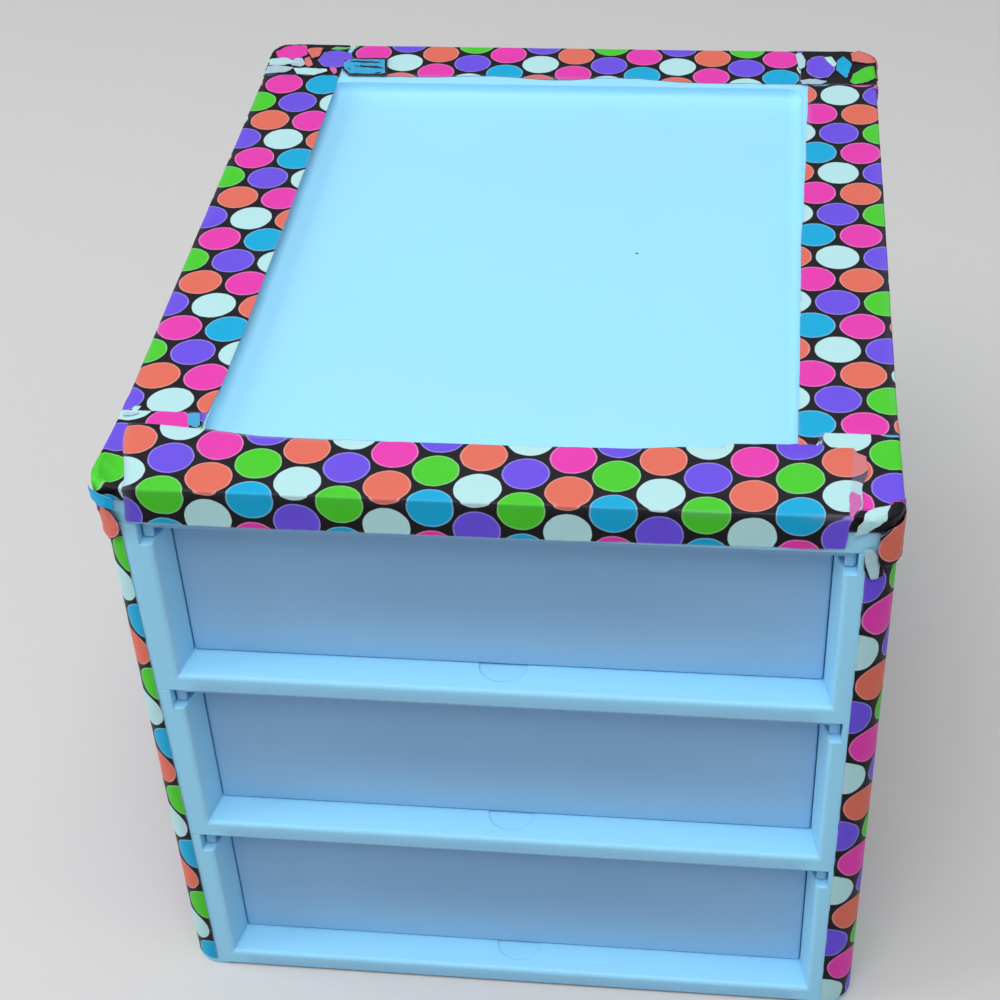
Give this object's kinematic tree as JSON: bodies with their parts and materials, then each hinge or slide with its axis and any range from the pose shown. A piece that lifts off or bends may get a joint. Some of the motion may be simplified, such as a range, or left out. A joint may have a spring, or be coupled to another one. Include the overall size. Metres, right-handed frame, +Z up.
{
  "type": "desktop drawer unit",
  "caption": "Desktop drawer unit of stacked moulded tiers with sliding open-top drawers and a recessed tray top, edged and clad in dotted tape.",
  "frame": {"origin": "middle of the footprint, on the surface that the unit stands on", "axes": "+Z up, -Y is the front where the drawers come out, +X to the right seen from the front"},
  "size_m": [0.273, 0.3252, 0.2594],
  "materials": {
    "frame_plastic": "moulded white polypropylene with a soft sheen",
    "drawer_plastic": "frosted translucent polypropylene, greyish in the shade of the bay",
    "dotted_tape": "printed cloth tape, round dots of six colours on black, satin"
  },
  "bodies": {
    "frame": {"tier_bottom": "frame_plastic", "tier_middle": "frame_plastic", "tier_top": "frame_plastic", "top_cover": "frame_plastic", "tape_top_front": "dotted_tape", "tape_top_back": "dotted_tape", "tape_top_left": "dotted_tape", "tape_top_right": "dotted_tape", "tape_side_left_1": "dotted_tape", "tape_side_left_2": "dotted_tape", "tape_side_left_3": "dotted_tape", "tape_side_left_4": "dotted_tape", "tape_side_left_5": "dotted_tape", "tape_side_left_6": "dotted_tape", "tape_side_left_7": "dotted_tape", "tape_side_right_1": "dotted_tape", "tape_side_right_2": "dotted_tape", "tape_side_right_3": "dotted_tape", "tape_side_right_4": "dotted_tape", "tape_side_right_5": "dotted_tape", "tape_side_right_6": "dotted_tape", "tape_side_right_7": "dotted_tape"},
    "bottom_drawer": {"drawer_bottom": "drawer_plastic"},
    "middle_drawer": {"drawer_middle": "drawer_plastic"},
    "top_drawer": {"drawer_top": "drawer_plastic"}
  },
  "joints": [
    {"name": "bottom_drawer_slide", "type": "slide", "parent": "frame", "child": "bottom_drawer", "axis": [0, -1, 0], "range_m": [0, 0.21]},
    {"name": "middle_drawer_slide", "type": "slide", "parent": "frame", "child": "middle_drawer", "axis": [0, -1, 0], "range_m": [0, 0.21]},
    {"name": "top_drawer_slide", "type": "slide", "parent": "frame", "child": "top_drawer", "axis": [0, -1, 0], "range_m": [0, 0.21]}
  ]
}
